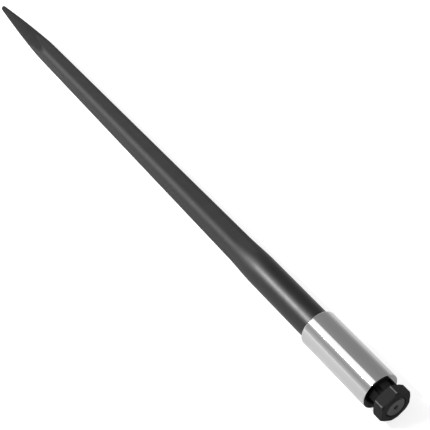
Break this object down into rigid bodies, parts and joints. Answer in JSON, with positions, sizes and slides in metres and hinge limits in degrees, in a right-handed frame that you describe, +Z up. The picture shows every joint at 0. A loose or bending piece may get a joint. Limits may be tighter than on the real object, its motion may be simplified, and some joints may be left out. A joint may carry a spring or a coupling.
{
  "type": "bale spear",
  "caption": "Long forged bale spear: tapered square bar with a round point and shank, held by a castle nut in a turned weld-on sleeve.",
  "frame": {"origin": "middle of the sleeve, on the spear's axis", "axes": "+X along the spear towards its point, +Z up, square to a flat of the bar"},
  "size_m": [1, 0.053, 0.053],
  "materials": {
    "black_paint": "semi-gloss black paint over a forged surface",
    "bright_steel": "bright turned steel, bare for welding",
    "black_nut": "black oxide, satin"
  },
  "bodies": {
    "root": {"spear": "black_paint", "sleeve": "bright_steel", "castle_nut": "black_nut"}
  },
  "joints": []
}
